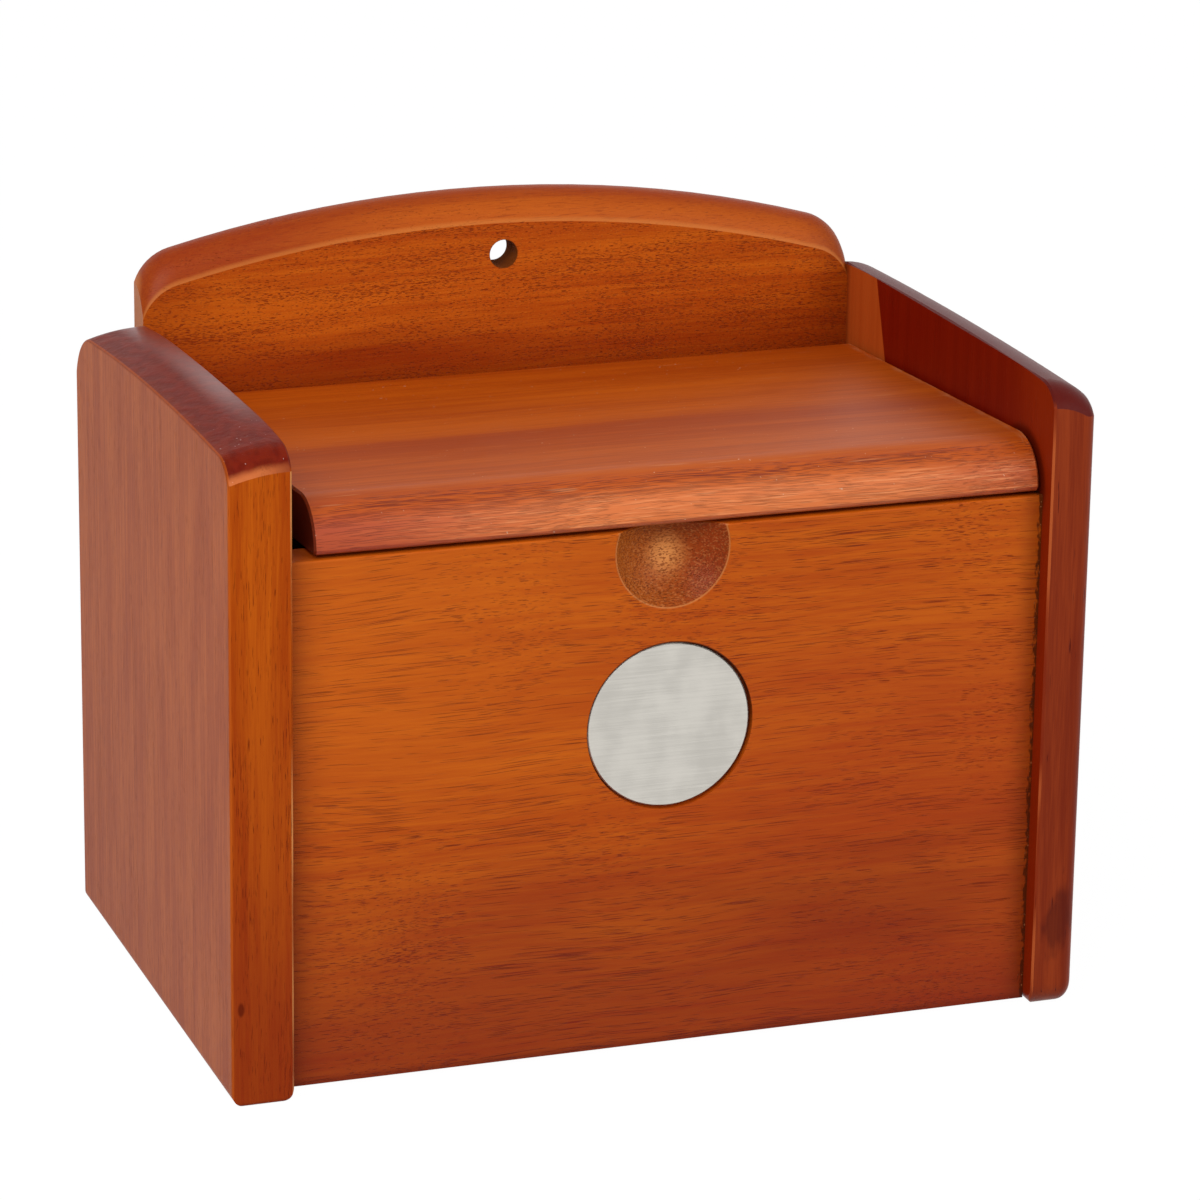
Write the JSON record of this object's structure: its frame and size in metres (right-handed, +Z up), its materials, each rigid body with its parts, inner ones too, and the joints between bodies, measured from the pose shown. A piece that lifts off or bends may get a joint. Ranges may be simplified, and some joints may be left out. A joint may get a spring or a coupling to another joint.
{
  "type": "salt box",
  "caption": "Stained wooden salt box with arched back, hanging hole, thumb scoop, steel label disc and a lid that swings up on pins between the sides.",
  "frame": {"origin": "middle of the footprint, on the surface that the box stands on", "axes": "+X to the right as seen from the front, +Y to the back, +Z up"},
  "size_m": [0.17, 0.112, 0.1438],
  "materials": {
    "side_wood": "reddish brown stain under a satin lacquer, grain upright",
    "back_wood": "orange brown stain under a satin lacquer, grain level",
    "front_wood": "orange brown stain under a satin lacquer, grain level",
    "bottom_wood": "orange brown stain, thinly lacquered",
    "lid_wood": "orange brown stain under a satin lacquer, grain level, light scuffs",
    "dowel_wood": "bare pale hardwood",
    "brushed_steel_disc": "finely brushed",
    "pin_steel": "drawn steel wire, plain"
  },
  "bodies": {
    "box": {"left_side_panel": "side_wood", "right_side_panel": "side_wood", "back_panel": "back_wood", "front_panel": "front_wood", "bottom_panel": "bottom_wood", "label_disc": "brushed_steel_disc", "left_hinge_pin": "pin_steel", "right_hinge_pin": "pin_steel", "front_dowels": "dowel_wood", "back_dowels": "dowel_wood", "bottom_dowels": "dowel_wood"},
    "lid": {"lid": "lid_wood"}
  },
  "joints": [
    {"name": "lid_hinge", "type": "hinge", "parent": "box", "child": "lid", "pos_m": [0, 0.0432, 0.10352], "axis": [-1, 0, 0], "range_deg": [0, 87.2]}
  ]
}
